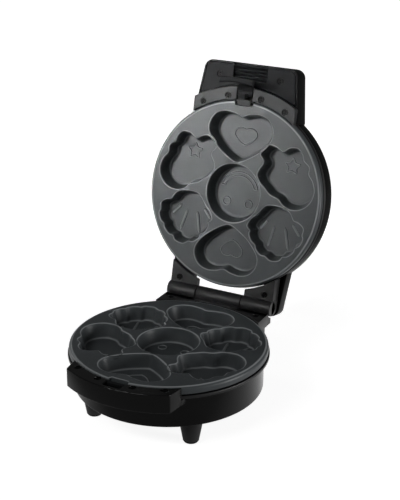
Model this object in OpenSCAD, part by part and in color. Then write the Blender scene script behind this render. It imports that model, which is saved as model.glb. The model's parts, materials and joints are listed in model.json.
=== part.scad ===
// Clamshell maker for seven small cakes: a drum base on four feet, a hinged lid,
// two cast plates with matching wells, and a sprung latch in the lid's handle.
// Each piece is drawn with the lid closed, round the middle of the lower plate's
// face, and the lid is then swung open about the hinge.

/* [Plates] */
// Diameter of the cast plates
plate_d = 200; // [190:1:204]
// Depth of the wells
well_depth = 16; // [12:0.5:17]
// Thickness of the plates' face
plate_t = 3; // [2.5:0.1:3.5]
// Gap between the two faces when the lid is closed
face_gap = 1.5; // [1:0.1:3]

/* [Base] */
// Height of the lower plate's face above the table
face_h = 74; // [70:1:80]
// Outer diameter of the drum
drum_d = 197; // [190:1:198]
// Depth of the drum's underside below the plate's face
drum_depth = 46; // [44:1:50]
// Wall of the drum and the covers
wall = 2.5; // [2:0.1:3]

/* [Handles] */
// Width of the base's front handle
handle_w = 120; // [110:1:124]
// Height of the base's front handle
handle_h = 20; // [18:1:24]
// How far the handles' outer edge stands outside the plates
handle_reach = 18; // [16:0.5:19]
// Length of the lid's hand grip in front of the strip
grip_len = 25; // [22:1:30]

/* [Lid] */
// Outer diameter of the lid's shell
shell_d = 209; // [208:1:212]
// Height of the lid's top above its plate's face
shell_h = 33; // [32:0.5:38]
// How far the lid stands open at rest, in degrees
lid_open = 103.6; // [90:0.1:105]

/* [Hinge] */
// Distance of the hinge line behind the middle of the plates
hinge_y = 116.4; // [115:0.1:120]
// Height of the hinge line above the lower plate's face
hinge_z = 2.5; // [2:0.1:3.5]
// Diameter of the knuckles
barrel_d = 16.6; // [14:0.1:17]
// Diameter of the hinge pin
pin_d = 5; // [4:0.1:6]

/* [Hidden] */

plate_r = plate_d / 2;
drum_r = drum_d / 2;
shell_r = shell_d / 2;
handle_r = plate_r + handle_reach;
eps = 0.01;
fine = 96;

// The plates: a flared skirt round the face, and wells whose walls draw in to their floors
skirt_h = 8;
skirt_r = plate_r + 3;
skirt_in_r = plate_r - 3;
cup_t = 2.2;
draft = 0.88;
notch_w = 22;
notch_depth = 3;
line_h = 0.8;
line_w = 1.1;
round_r = 32;
round_floor_r = 28;
round_y = -1.5;
// Control points of half a heart, of the starred figure and of the scallop, in the plates' plane
heart_half = [[0, 19], [9, 21.8], [20, 23], [30.5, 19.5], [37, 11], [37.8, 1], [32.5, -8], [23.5, -17.2],
    [12, -25], [4, -29]];
figure_points = [[52.4, -54], [60.5, -59.2], [69, -59.8], [74.8, -54.8], [77.3, -48], [84, -42.5],
    [84.6, -34.5], [90, -27.5], [93.2, -18], [91.6, -8.5], [86, -0.5], [77.5, 4.2], [68, 4.6], [60.5, 1.8],
    [54, -4], [44, -7.4], [37.8, -12.5], [30.9, -18], [26.6, -25], [28, -31.5], [31.8, -38], [31.5, -43],
    [27.5, -48.5], [30.2, -55.5], [37, -59.3], [44.5, -58]];
scallop_points = [[38, 9.5], [43, 5.6], [53.5, 4.6], [64.5, 6.4], [70.2, 10.6], [74.6, 17], [80.6, 18.6],
    [86.6, 23.4], [86.2, 30.6], [87.6, 35], [84.6, 42.2], [80, 45.6], [78.4, 50.6], [72.6, 55.8], [67.2, 57.2],
    [63.6, 61.8], [54.5, 63.6], [47.4, 60], [41.8, 59.4], [36.2, 54.8], [34.2, 50], [28.6, 45.8], [25.6, 39.4],
    [26.2, 35.4], [22.2, 31], [25.4, 23.6], [30.6, 18.6], [34.4, 14]];
heart_back_y = 64.2;
heart_front_y = -66;
figure_c = [60, -28];
scallop_c = [54, 34];
star_c = [59.5, -39.5];
star_r = 9.6;
eye_x = 13.3;
eye_y = 10;
eye_r = 4.6;
mouth_r = 21;
mouth_in_r = 17;

// The bezels, whose outer edge stands just outside the plates' skirt
bezel_r = plate_r + 4.3;
bezel_in_r = drum_r - wall;
bezel_t = 3.5;
bezel_top = skirt_h + 1;
drum_top = bezel_top + bezel_t + 1;
seat_gap = 0.4;
tongue_r = 113;
tongue_half = handle_w / 2 - 4;

// Screws of the handles, the strip, the bracket and the leaves
screw_d = 3;
head_d = 6;
head_h = 2.2;
sink_d = 7;
sink_h = 3;
screw_ring_r = 108;
screw_angles = [-27, -10.5, 10.5, 27];
rear_screw_x = 52.6;
rear_screw_y = 98;
leaf_screw_y = 102.6;

// The latch: a bell-crank on a pin in the lid's strip, hooked under a ledge in the base's handle
strip_h = 7;
strip_half = handle_w / 2 + 0.5;
slot_half = 9.5;
latch_half = 8.8;
latch_pin_y = -110.5;
latch_pin_z = 3.6;
latch_pin_d = 2.4;
latch_fit = 0.05;
keeper_half = 10;
keeper_y = -106.2;
bridge_y = -103.2;
notch_fill = 8;
notch_fill_y = 5;
hook_half = 4;
clip_half = 20;

// The hand grip of the lid, and the low step round the lid's top
crown_h = 3;
crown_step = 2;
grip_y = -(handle_r - 0.5 + grip_len);
grip_half_back = 64.5;
grip_half_front = 56;
grip_corner = 10;
grip_under = strip_h;
cover_gap = 0.4;
cover_t = 2.5;
grip_boss = 4;
grip_screw_x = 36.2;
grip_screw_y = -128;
recess_half = 20;
lens_x = 9;
lens_y = -125;
lens_r = 3;
lamp_z = 20;
recess_y = -124.5;

// The hinge: the base carries the middle knuckle and the lid the outer two
knuckle_in = 28.2;
knuckle_gap = 1;
knuckle_out = 63.5;
barrel_r = barrel_d / 2;
pin_r = pin_d / 2;
hinge_fit = 0.05;
leaf_t = 14;
leaf_edge_t = 3.5;
leaf_thick_x = 38;
arm_in = 45;
arm_half_front = 71;
arm_half = 66;
arm_y = 128;
arm_corner = 10;
housing_half = 63;
housing_y = 112;

// The feet
foot_h = face_h - drum_depth;
foot_top_r = 13;
foot_low_r = 8.2;
pad_h = 2.5;
pad_r = 6.5;
front_foot_r = 80;
rear_foot_x = 46;
rear_foot_y = 96;

// Inside: heaters under the wells, reflectors behind them
cup_depth = well_depth + cup_t;
heater_r = 56;
heater_tube_r = 3.2;
heater_gap = 0.8;
heater_z = cup_depth + heater_tube_r + heater_gap;
reflector_z = heater_z + heater_tube_r + 1.2;
reflector_t = 0.8;
reflector_r = 86;
stud_r = 3;
stud_points = [[52.5, -71.5], [-52.5, -71.5], [49.5, 74.5], [-49.5, 74.5]];
gland_z = -36;
gland_r = 6;
cord_hole_r = 3.75;

// The open lid's rearmost point is its grip's top corner: the depth is halved about it
grip_corner_y = grip_y + crown_step - hinge_y;
grip_corner_z = shell_h + face_gap - hinge_z;
rear_reach = hinge_y + grip_corner_y * cos(lid_open) + grip_corner_z * sin(lid_open);
centre_y = (rear_reach - handle_r) / 2;

// A closed smooth curve through control points, in the way of Catmull and Rom
function knot(p, i) = p[(i + len(p)) % len(p)];
function on_curve(a, b, c, d, t) =
    0.5 * (2 * b + (c - a) * t + (2 * a - 5 * b + 4 * c - d) * t * t + (3 * b - a - 3 * c + d) * t * t * t);
function smooth(p, steps) =
    [for (i = [0 : len(p) - 1], s = [0 : steps - 1])
        on_curve(knot(p, i - 1), knot(p, i), knot(p, i + 1), knot(p, i + 2), s / steps)];
function moved(p, c) = [for (q = p) q - c];
function mirrored(p) = [for (i = [len(p) - 1 : -1 : 0]) [-p[i][0], p[i][1]]];
heart_points = concat(heart_half, [[0, -30]],
    [for (i = [len(heart_half) - 1 : -1 : 1]) [-heart_half[i][0], heart_half[i][1]]]);
heart = smooth(heart_points, 2);
figure = moved(smooth(figure_points, 2), figure_c);
scallop = moved(smooth(scallop_points, 2), scallop_c);
function star(r, ratio) = [for (i = [0 : 9]) (i % 2 == 0 ? r : r * ratio) * [sin(36 * i), -cos(36 * i)]];

module in_base() {
    translate([0, -centre_y, face_h]) children();
}

module in_lid() {
    translate([0, hinge_y - centre_y, face_h + hinge_z]) rotate([-lid_open, 0, 0])
        translate([0, -hinge_y, face_gap - hinge_z]) children();
}

module tube(r_out, r_in, z0, z1) {
    translate([0, 0, z0]) difference() {
        cylinder(r = r_out, h = z1 - z0, $fn = fine);
        translate([0, 0, -1]) cylinder(r = r_in, h = z1 - z0 + 2, $fn = fine);
    }
}

// A tube's front stretch, cut off square at both ends
module arc_block(r_out, r_in, z0, z1, half) {
    intersection() {
        tube(r_out, r_in, z0, z1);
        translate([-half, -r_out - 1, z0 - 1]) cube([2 * half, r_out - 59, z1 - z0 + 2]);
    }
}

module rod_x(r, x0, x1, y, z) {
    translate([x0, y, z]) rotate([0, 90, 0]) cylinder(r = r, h = x1 - x0, $fn = 48);
}

// A countersink and a clearance hole for one screw that goes in along +Z from z = 0
module screw_hole(depth) {
    translate([0, 0, -1]) cylinder(d = sink_d, h = sink_h + 1, $fn = 32);
    translate([0, 0, -1]) cylinder(d = screw_d, h = depth + 1, $fn = 32);
}

// A pan-head screw in that hole, with a cross recess
module screw(depth) {
    head_z = sink_h - head_h;
    difference() {
        union() {
            translate([0, 0, head_z]) cylinder(d = head_d, h = head_h, $fn = 32);
            translate([0, 0, sink_h - eps]) cylinder(d = screw_d, h = depth - sink_h + eps, $fn = 32);
        }
        for (a = [0, 90]) rotate([0, 0, a])
            translate([-1.8, -0.4, head_z - 1]) cube([3.6, 0.8, 2.2]);
    }
}

module at_ring_screws() {
    for (a = screw_angles)
        translate([screw_ring_r * sin(a), -screw_ring_r * cos(a), 0]) children();
}

module at_pair(x, y) {
    for (s = [-1, 1]) translate([s * x, y, 0]) children();
}

// ---- The plates -------------------------------------------------------------

// One well's solid, drawing in with depth, with its rim at z = 0 and its floor at z = depth
module drafted(points, c, depth, grow) {
    translate([c[0], c[1], 0]) linear_extrude(height = depth, scale = draft)
        scale(grow) polygon(points);
}

module well_set(depth, grow, more) {
    translate([0, round_y, 0])
        cylinder(r1 = round_r + more, r2 = round_floor_r + more, h = depth, $fn = fine);
    drafted(heart, [0, heart_back_y], depth, grow);
    mirror([0, 1, 0]) drafted(heart, [0, -heart_front_y], depth, grow);
    for (s = [0, 1]) mirror([s, 0, 0]) {
        drafted(figure, figure_c, depth, grow);
        drafted(scallop, scallop_c, depth, grow);
    }
}

// Raised lines on the wells' floors: an eyed and smiling round, hearts, stars and rays
module floor_lines() {
    translate([0, 0, well_depth - line_h]) {
        for (s = [-1, 1]) translate([s * eye_x, eye_y, 0]) tube(eye_r, eye_r - line_w, 0, line_h + eps);
        translate([0, -3, 0]) rotate([0, 0, 192]) rotate_extrude(angle = 156, $fn = fine)
            translate([mouth_r - line_w, 0]) square([line_w, line_h + eps]);
        translate([0, -3, 0]) rotate([0, 0, 192]) rotate_extrude(angle = 156, $fn = fine)
            translate([mouth_in_r - line_w, 0]) square([line_w, line_h + eps]);
        for (s = [0, 1]) mirror([s, 0, 0]) {
            translate([star_c[0], star_c[1], 0]) linear_extrude(line_h + eps) difference() {
                polygon(star(star_r, 0.5));
                polygon(star(star_r - 2.4, 0.5));
            }
            for (ray = [[37, 26, 128, 12], [48, 41, 98, 25], [63, 41, 72, 25], [73, 28, 48, 12]])
                translate([ray[0], ray[1], 0]) rotate([0, 0, ray[2]])
                    translate([-ray[3] / 2, -line_w, 0]) cube([ray[3], 2 * line_w, line_h + eps]);
        }
        for (c = [[heart_front_y + 1, 1], [heart_back_y - 1, 0]])
            translate([0, c[0], 0]) mirror([0, c[1], 0]) linear_extrude(line_h + eps) difference() {
                scale(0.38) polygon(heart);
                scale(0.32) polygon(heart);
            }
    }
}

// A plate with its face at z = 0, a rounded rim, and its wells going up
module cake_plate() {
    difference() {
        union() {
            rotate_extrude($fn = fine) polygon([[0, 0], [plate_r - 0.5, 0], [plate_r + 1.4, 0.6],
                [plate_r + 2.6, 1.9], [skirt_r, 3.8], [skirt_r, skirt_h], [skirt_in_r, skirt_h],
                [skirt_in_r, plate_t], [0, plate_t]]);
            well_set(cup_depth, 1 + cup_t / 33, cup_t);
        }
        translate([0, 0, -eps]) well_set(well_depth + eps, 1, 0);
        translate([-notch_w / 2, -plate_r - 4, -1]) cube([notch_w, 4 + notch_depth, skirt_h + 2]);
    }
    floor_lines();
}

module lower_plate() {
    color("#2a2c2e") in_base() mirror([0, 0, 1]) cake_plate();
}

module upper_plate() {
    color("#4c5153") in_lid() cake_plate();
}

// ---- The base ---------------------------------------------------------------

// The rear housing's block, behind the drum
module housing_block(grow, z0, z1) {
    half = housing_half - 3 + grow;
    translate([-half, 60, z0]) cube([2 * half, housing_y - 60 + grow, z1 - z0]);
}

module base_drum() {
    inner_r = drum_r - wall;
    color("#141414") in_base() difference() {
        union() {
            tube(drum_r, inner_r, -drum_depth, -drum_top);
            tube(drum_r + 1.3, inner_r, -drum_top - 2.5, -drum_top);
            difference() {
                housing_block(0, -drum_depth, -drum_top);
                translate([0, 0, -drum_depth - 1]) cylinder(r = inner_r, h = drum_depth, $fn = fine);
                housing_block(-wall, -drum_depth - 1, -drum_top - wall);
            }
        }
        // the way from the drum into the housing, for the leads
        translate([-25, 70, -drum_depth - 1]) cube([50, 35, drum_depth - drum_top - 8]);
        // the seat of the cord gland
        translate([0, housing_y + 1, gland_z]) rotate([90, 0, 0])
            cylinder(r = gland_r + 0.15, h = wall + 2, $fn = 48);
    }
}

// A plate that closes the drum and the housing from below, with a ring of air slots
module base_cover() {
    low = -drum_depth;
    fit = 0.15;
    color("#171717") in_base() difference() {
        union() {
            translate([0, 0, low]) cylinder(r = drum_r - wall - fit, h = wall, $fn = fine);
            translate([-(housing_half - 3 - wall - fit), 60, low])
                cube([2 * (housing_half - 3 - wall - fit), housing_y - 60 - wall - fit, wall]);
            for (p = stud_points)
                translate([p[0], p[1], low + wall - eps]) cylinder(r = 5.2, h = 8, $fn = 32);
        }
        // the drum's wall crosses the housing here
        difference() {
            tube(drum_r + fit, drum_r - wall - fit, low - 1, low + wall + 1);
            translate([-25 + fit, 60, low - 2]) cube([50 - 2 * fit, 60, wall + 4]);
        }
        for (a = [0 : 15 : 345]) rotate([0, 0, a])
            translate([46, -1.5, low - 1]) cube([18, 3, wall + 2]);
        for (p = stud_points) translate([p[0], p[1], low - 1]) {
            cylinder(d = screw_d + 0.4, h = 20, $fn = 32);
            cylinder(d = sink_d, h = 3, $fn = 32);
        }
        foot_bores();
    }
}

module at_feet() {
    for (s = [-1, 1]) {
        translate([s * front_foot_r * sin(45), -front_foot_r * cos(45), -face_h]) children();
        translate([s * rear_foot_x, rear_foot_y, -face_h]) children();
    }
}

module foot_bores() {
    at_feet() translate([0, 0, foot_h - 1]) cylinder(d = screw_d, h = wall + 2, $fn = 32);
}

module cover_screws() {
    low = -drum_depth;
    color("#8a8d90") in_base() for (p = stud_points) translate([p[0], p[1], low]) {
        difference() {
            translate([0, 0, 0.2]) cylinder(d = head_d, h = 1.8, $fn = 32);
            for (a = [0, 90]) rotate([0, 0, a]) translate([-1.8, -0.4, -1]) cube([3.6, 0.8, 2]);
        }
        translate([0, 0, 2 - eps]) cylinder(d = screw_d - 0.4, h = 12, $fn = 32);
    }
}

// The ring that the plate's skirt rests on, with tongues into the handle and the bracket
module bezel_ring(tongue_z) {
    difference() {
        union() {
            rotate_extrude($fn = fine) polygon([[bezel_in_r, skirt_h], [plate_r - 0.2, skirt_h],
                [plate_r - 0.2, bezel_top], [bezel_r - 1, bezel_top], [bezel_r, bezel_top + 1],
                [bezel_r, bezel_top + bezel_t - 1], [bezel_r - 1, bezel_top + bezel_t],
                [drum_r - 0.5, bezel_top + bezel_t], [drum_r - 0.5, drum_top], [bezel_in_r, drum_top]]);
            arc_block(tongue_r, skirt_r + seat_gap, tongue_z, tongue_z + bezel_t, tongue_half);
        }
        at_ring_screws() translate([0, 0, 1]) cylinder(d = screw_d, h = 20, $fn = 32);
    }
}

module base_bezel() {
    color("#101010") in_base() mirror([0, 0, 1]) difference() {
        union() {
            bezel_ring(bezel_top);
            rear_tongue();
        }
        at_pair(rear_screw_x, rear_screw_y) cylinder(d = screw_d, h = 30, $fn = 32);
    }
}

// The bezel's rear tongue, held between the bracket and the housing's roof
module rear_tongue() {
    intersection() {
        tube(handle_r, bezel_r - 2, bezel_top, bezel_top + bezel_t);
        translate([-58, 78, bezel_top - 1]) cube([116, 26, bezel_t + 2]);
    }
}

module base_handle() {
    edge = 1.2;
    inner = skirt_r + seat_gap;
    gap = 0.3;
    color("#131313") in_base() difference() {
        intersection() {
            rotate_extrude($fn = fine) polygon([[inner, 0], [handle_r - edge, 0], [handle_r, -edge],
                [handle_r, -handle_h + edge], [handle_r - edge, -handle_h], [drum_r + 1.6, -handle_h],
                [drum_r + 1.6, -drum_top], [bezel_r + gap, -drum_top], [bezel_r + gap, -bezel_top],
                [inner, -bezel_top]]);
            translate([0, 0, -handle_h - 1]) linear_extrude(handle_h + 2)
                polygon([[handle_w / 2 - 3.9, -handle_r - 1], [handle_w / 2 + 3.7, -60],
                    [-handle_w / 2 - 3.7, -60], [3.9 - handle_w / 2, -handle_r - 1]]);
        }
        // the tongue's slot
        arc_block(tongue_r + gap, bezel_r - 4, -bezel_top - bezel_t - gap, -bezel_top, tongue_half + gap);
        // the keeper's slot, open at the top and towards the plate
        translate([-keeper_half, -114, -14]) cube([2 * keeper_half, 13, 15]);
        mirror([0, 0, 1]) at_ring_screws() screw_hole(18);
    }
}

module base_handle_screws() {
    color("#a6a9ab") in_base() mirror([0, 0, 1]) at_ring_screws() screw(17);
}

// The ledge that the latch hooks under, on a wall that stands on the bezel's tongue
module latch_keeper() {
    ledge_low = -4.2;
    ledge_top = -1.5;
    color("#3a3c3e") in_base() {
        translate([-keeper_half, -103.6, -bezel_top]) cube([2 * keeper_half, 1.6, bezel_top + ledge_top]);
        translate([-keeper_half, keeper_y, ledge_low])
            cube([2 * keeper_half, 3, ledge_top - ledge_low]);
    }
}

// The rear bracket on the bezel's tongue, with the middle knuckle
module hinge_bracket() {
    mid = knuckle_in - knuckle_gap;
    gap = 0.3;
    color("#161616") in_base() difference() {
        union() {
            // the block in front of the knuckles, its rear sloping down under them
            intersection() {
                translate([-housing_half, 0, 0]) rotate([90, 0, 90]) linear_extrude(2 * housing_half)
                    polygon([[80, 0], [hinge_y - 8.9, 0], [hinge_y - 8.6, -2], [hinge_y - 6.8, -4.5],
                        [hinge_y - 4, -6.7], [hinge_y - 1.9, -7.2], [hinge_y - 1.9, -drum_top],
                        [80, -drum_top]]);
                tube(140, skirt_r + seat_gap, -drum_top - 1, 1);
            }
            // the middle knuckle and its web
            rod_x(barrel_r, -mid, mid, hinge_y, hinge_z);
            translate([-mid, skirt_r + seat_gap, -drum_top])
                cube([2 * mid, hinge_y - skirt_r - seat_gap + barrel_r - 1.5, drum_top + hinge_z - 2]);
        }
        rod_x(pin_r, -70, 70, hinge_y, hinge_z);
        // the bezel ring and its tongue
        tube(bezel_r + gap, 90, -drum_top - 1, -bezel_top);
        translate([-58 - gap, 78, -bezel_top - bezel_t]) cube([116 + 2 * gap, 26 + gap, bezel_t]);
        mirror([0, 0, 1]) at_pair(rear_screw_x, rear_screw_y) screw_hole(30);
    }
}

module bracket_screws() {
    color("#a6a9ab") in_base() mirror([0, 0, 1]) at_pair(rear_screw_x, rear_screw_y) screw(13);
}

module hinge_pin() {
    color("#b4b7ba") in_base() rod_x(pin_r, -knuckle_out + 1, knuckle_out - 1, hinge_y, hinge_z);
}

module lower_studs() {
    studs_h = drum_depth - wall - 8 - plate_t;
    color("#9da0a3") in_base() difference() {
        for (p = stud_points)
            translate([p[0], p[1], -plate_t - studs_h]) cylinder(r = stud_r, h = studs_h, $fn = 32);
        for (p = stud_points)
            translate([p[0], p[1], -plate_t - studs_h - 1]) cylinder(d = screw_d - 0.4, h = 5, $fn = 32);
    }
}

// A sheathed element bent round under the wells, with its two ends turned away from the plate
module heater_ring(leg) {
    opening = 24;
    end_r = heater_tube_r + 0.4;
    rotate([0, 0, 90 + opening / 2]) rotate_extrude(angle = 360 - opening, $fn = fine)
        translate([heater_r, 0]) circle(r = heater_tube_r, $fn = 32);
    for (s = [-1, 1]) rotate([0, 0, 90 + s * opening / 2]) translate([heater_r, 0, 0]) {
        translate([0, 0, -end_r - 0.1]) cylinder(r = end_r, h = end_r + 0.1 + leg, $fn = 32);
        translate([0, 0, leg - eps]) cylinder(r = 1.2, h = 3, $fn = 24);
    }
}

// A shallow dish behind the element, eared for the studs, with saddles that carry the element
module reflector() {
    z = reflector_z;
    difference() {
        union() {
            translate([0, 0, z]) cylinder(r = reflector_r, h = reflector_t, $fn = fine);
            tube(reflector_r, reflector_r - reflector_t, z - 3, z + reflector_t);
            for (p = stud_points)
                translate([p[0], p[1], z]) cylinder(r = stud_r + 2.4, h = reflector_t, $fn = 32);
            for (a = [-30, 90, 210]) rotate([0, 0, a - 180])
                translate([heater_r - 4, -3, heater_z]) cube([8, 6, z - heater_z + eps]);
        }
        translate([0, 0, heater_z]) rotate_extrude($fn = fine)
            translate([heater_r, 0]) circle(r = heater_tube_r, $fn = 32);
        for (p = stud_points) translate([p[0], p[1], z - 4]) cylinder(r = stud_r, h = 8, $fn = 32);
        for (s = [-1, 1]) rotate([0, 0, 90 + s * 12]) translate([heater_r, 0, z - 4])
            cylinder(r = heater_tube_r + 1, h = 8, $fn = 32);
    }
}

module lower_heater() {
    color("#85796b") in_base() translate([0, 0, -heater_z]) mirror([0, 0, 1]) heater_ring(9);
}

module lower_reflector() {
    color("#b9bcbe") in_base() mirror([0, 0, 1]) reflector();
}

// A disc thermostat clipped under the reflector
module thermostat() {
    top = -reflector_z - reflector_t;
    color("#c9c3b4") in_base() translate([0, 0, top]) mirror([0, 0, 1]) {
        cylinder(r = 8, h = 5, $fn = 48);
        cylinder(r = 3, h = 8, $fn = 32);
        for (s = [-1, 1]) translate([s * 6 - 0.4, -3, 0]) cube([0.8, 6, 9]);
    }
}

// A fuse in a clip under the reflector
module thermal_fuse() {
    top = -reflector_z - reflector_t;
    fuse_r = 2;
    color("#c4b26a") in_base() {
        rod_x(fuse_r, 20, 32, -24, top - 3);
        rod_x(0.5, 12, 40, -24, top - 3);
        translate([23, -24 - 1.5, top - 3]) cube([6, 3, 3]);
    }
}

module terminal_block() {
    color("#d8d4c8") in_base() difference() {
        translate([-17, 82, -drum_depth + wall]) cube([34, 12, 12]);
        for (x = [-11, 0, 11]) translate([x, 88, -drum_depth + wall + 6])
            cylinder(r = 2.2, h = 10, $fn = 32);
        for (x = [-11, 0, 11]) translate([x, 80, -drum_depth + wall + 5]) rotate([-90, 0, 0])
            cylinder(r = 1.6, h = 16, $fn = 32);
    }
}

// A flanged bush in the housing's back wall that the mains lead would pass through
module cord_gland() {
    color("#0c0c0c") in_base() translate([0, housing_y, gland_z]) rotate([-90, 0, 0]) difference() {
        union() {
            cylinder(r = gland_r + 2, h = 3, $fn = 48);
            translate([0, 0, -wall - 2]) cylinder(r = gland_r, h = wall + 3, $fn = 48);
        }
        translate([0, 0, -wall - 3]) cylinder(r = cord_hole_r, h = 12, $fn = 48);
    }
}

// A foot's tapered body, standing on its pad
module foot() {
    taper_h = foot_h - pad_h;
    difference() {
        translate([0, 0, pad_h]) cylinder(r1 = foot_low_r, r2 = foot_top_r, h = taper_h, $fn = 48);
        translate([0, 0, foot_h - 12]) cylinder(d = screw_d - 0.4, h = 14, $fn = 32);
    }
}

module front_feet() {
    color("#1b1b1b") in_base() for (s = [-1, 1])
        translate([s * front_foot_r * sin(45), -front_foot_r * cos(45), -face_h]) foot();
}

module rear_feet() {
    color("#1b1b1b") in_base() for (s = [-1, 1]) translate([s * rear_foot_x, rear_foot_y, -face_h]) foot();
}

// Rubber pads, rounded at the rim, under the four feet
module foot_pads() {
    color("#0d0d0d") in_base() at_feet() rotate_extrude($fn = 48)
        polygon([[0, 0], [pad_r - 1.5, 0], [pad_r + 0.6, 0.9], [foot_low_r, pad_h], [0, pad_h]]);
}

module foot_screws() {
    color("#8a8d90") in_base() at_feet() translate([0, 0, foot_h]) {
        translate([0, 0, -11]) cylinder(d = screw_d - 0.4, h = 11 + wall + eps, $fn = 32);
        translate([0, 0, wall]) cylinder(d = head_d, h = 2, $fn = 32);
    }
}

// ---- The lid ----------------------------------------------------------------

// Points along a corner, from angle a0 to a1
function corner(c, r, a0, a1) =
    [for (i = [0 : 8]) c + r * [cos(a0 + (a1 - a0) * i / 8), sin(a0 + (a1 - a0) * i / 8)]];
function grip_side(inset) = concat([[grip_half_back - inset, -70]],
    corner([grip_half_front - grip_corner, grip_y + grip_corner], grip_corner - inset, 0, -90));
function grip_outline(inset) = concat(grip_side(inset), mirrored(grip_side(inset)));
function arm_outline(inset) = concat([[arm_in + inset, 70], [arm_half_front - inset, 70]],
    corner([arm_half - arm_corner, arm_y - arm_corner], arm_corner - inset, 0, 90),
    corner([arm_in + 3, arm_y - 3], 3 - inset, 90, 180));

module grip_block(inset, z0, z1) {
    translate([0, 0, z0]) linear_extrude(z1 - z0) polygon(grip_outline(inset));
}

module arm_blocks(inset, z0, z1) {
    for (s = [0, 1]) mirror([s, 0, 0])
        translate([0, 0, z0]) linear_extrude(z1 - z0) polygon(arm_outline(inset));
}

// The lid's outer cover: a drum with a hand grip in front and two arms behind
module lid_shell() {
    roof = shell_h - wall;
    low = bezel_top + bezel_t;
    side = shell_h - crown_h;
    arm_low = leaf_t + 0.3;
    color("#121212") in_lid() difference() {
        union() {
            difference() {
                union() {
                    translate([0, 0, low]) cylinder(r = shell_r, h = side - low, $fn = fine);
                    translate([0, 0, side]) cylinder(r = shell_r - crown_step, h = crown_h, $fn = fine);
                    grip_block(0, grip_under, side);
                    grip_block(crown_step, side, shell_h);
                    arm_blocks(0, arm_low, side);
                    arm_blocks(crown_step, side, shell_h);
                }
                translate([0, 0, -1]) cylinder(r = shell_r - wall, h = roof + 1, $fn = fine);
                grip_block(wall, 0, roof);
                arm_blocks(wall, arm_low + wall, roof);
                // the leaves' and the bezel's places
                for (s = [0, 1]) mirror([s, 0, 0])
                    translate([arm_in + wall, 70, low - 1]) cube([15, 43, arm_low - low + 2 * wall + 1]);
                translate([0, 0, -1]) cylinder(r = bezel_r + 0.3, h = low + 1, $fn = fine);
                // the strip's place
                translate([0, 0, -1]) cylinder(r = handle_r, h = grip_under + 5, $fn = fine);
                translate([-recess_half, grip_y - 1, grip_under - 1]) cube([2 * recess_half, wall + 2, 3]);
            }
            at_pair(grip_screw_x, grip_screw_y) translate([0, 0, grip_under + grip_boss])
                cylinder(r = 4, h = roof - grip_under - grip_boss + eps, $fn = 32);
        }
        for (s = [-1, 1]) translate([s * grip_screw_x, grip_screw_y, 0])
            cylinder(d = screw_d, h = 20, $fn = 32);
        for (x = [-lens_x, lens_x]) translate([x, lens_y, roof - 3]) cylinder(r = lens_r, h = 10, $fn = 32);
    }
}

// The lid's own bezel, with two tongues over the hinge leaves
module lid_bezel() {
    color("#101010") in_lid() difference() {
        union() {
            bezel_ring(strip_h);
            difference() {
                for (s = [-1, 1]) translate([s * 54.5 - 6, 72, bezel_top + 1]) cube([12, 40, 7]);
                tube(160, bezel_r - 0.5, 0, leaf_t);
                cylinder(r = bezel_in_r, h = 60, $fn = fine);
            }
        }
        at_pair(rear_screw_x, leaf_screw_y) cylinder(d = screw_d, h = 30, $fn = 32);
    }
}

// The strip in front of the lid's plate, which holds the latch
module lid_strip() {
    inner = skirt_r + seat_gap;
    color("#26282a") in_lid() difference() {
        arc_block(handle_r - 0.5, inner, 0, strip_h, strip_half);
        // the latch's slot, bridged along its inner side
        translate([-slot_half, -125, -1]) cube([2 * slot_half, 125 + bridge_y, strip_h + 2]);
        translate([-slot_half, bridge_y - 1, -1]) cube([2 * slot_half, 6, 2.5]);
        at_ring_screws() screw_hole(20);
        rod_x(latch_pin_d / 2, -16, 16, latch_pin_y, latch_pin_z);
    }
    color("#26282a") in_lid() translate([-slot_half - 1, bridge_y, 1.5])
        cube([2 * slot_half + 2, 2, strip_h - 1.5]);
    color("#26282a") in_lid() translate([-notch_fill, bridge_y, 0.3])
        cube([2 * notch_fill, notch_fill_y, strip_h - 0.3]);
}

module strip_screws() {
    color("#a6a9ab") in_lid() at_ring_screws() screw(strip_h + bezel_t - 0.2);
}

// The cover under the hand grip, with the ribbed finger recess
module grip_cover() {
    edge = wall + cover_gap;
    tray_y = grip_y + edge;
    color("#303234") in_lid() {
        difference() {
            union() {
                difference() {
                    grip_block(edge, grip_under, grip_under + cover_t);
                    translate([0, 0, grip_under - 1]) cylinder(r = handle_r + 0.2, h = 9, $fn = fine);
                }
                translate([-recess_half - 1.5, tray_y, grip_under])
                    cube([2 * recess_half + 3, recess_y + 2 - tray_y, 9.5]);
                at_pair(grip_screw_x, grip_screw_y) translate([0, 0, grip_under])
                    cylinder(r = 5, h = grip_boss, $fn = 32);
            }
            // the recess, deepening towards the strip
            translate([-recess_half, grip_y, grip_under - 1]) rotate([90, 0, 90])
                linear_extrude(2 * recess_half)
                    polygon([[0, 0], [0, 2.5], [16.5, 8], [recess_y - grip_y, 8], [recess_y - grip_y, 0]]);
            for (s = [-1, 1]) translate([s * grip_screw_x, grip_screw_y, grip_under]) screw_hole(20);
        }
        // finger ribs across its slope
        for (i = [0 : 3])
            rod_x(0.9, -recess_half - 1, recess_half + 1, -138 + 3.4 * i, grip_under + 3 + 1.13 * i);
    }
}

module grip_screws() {
    color("#a6a9ab") in_lid() for (s = [-1, 1]) translate([s * grip_screw_x, grip_screw_y, grip_under])
        screw(12);
}

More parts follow.
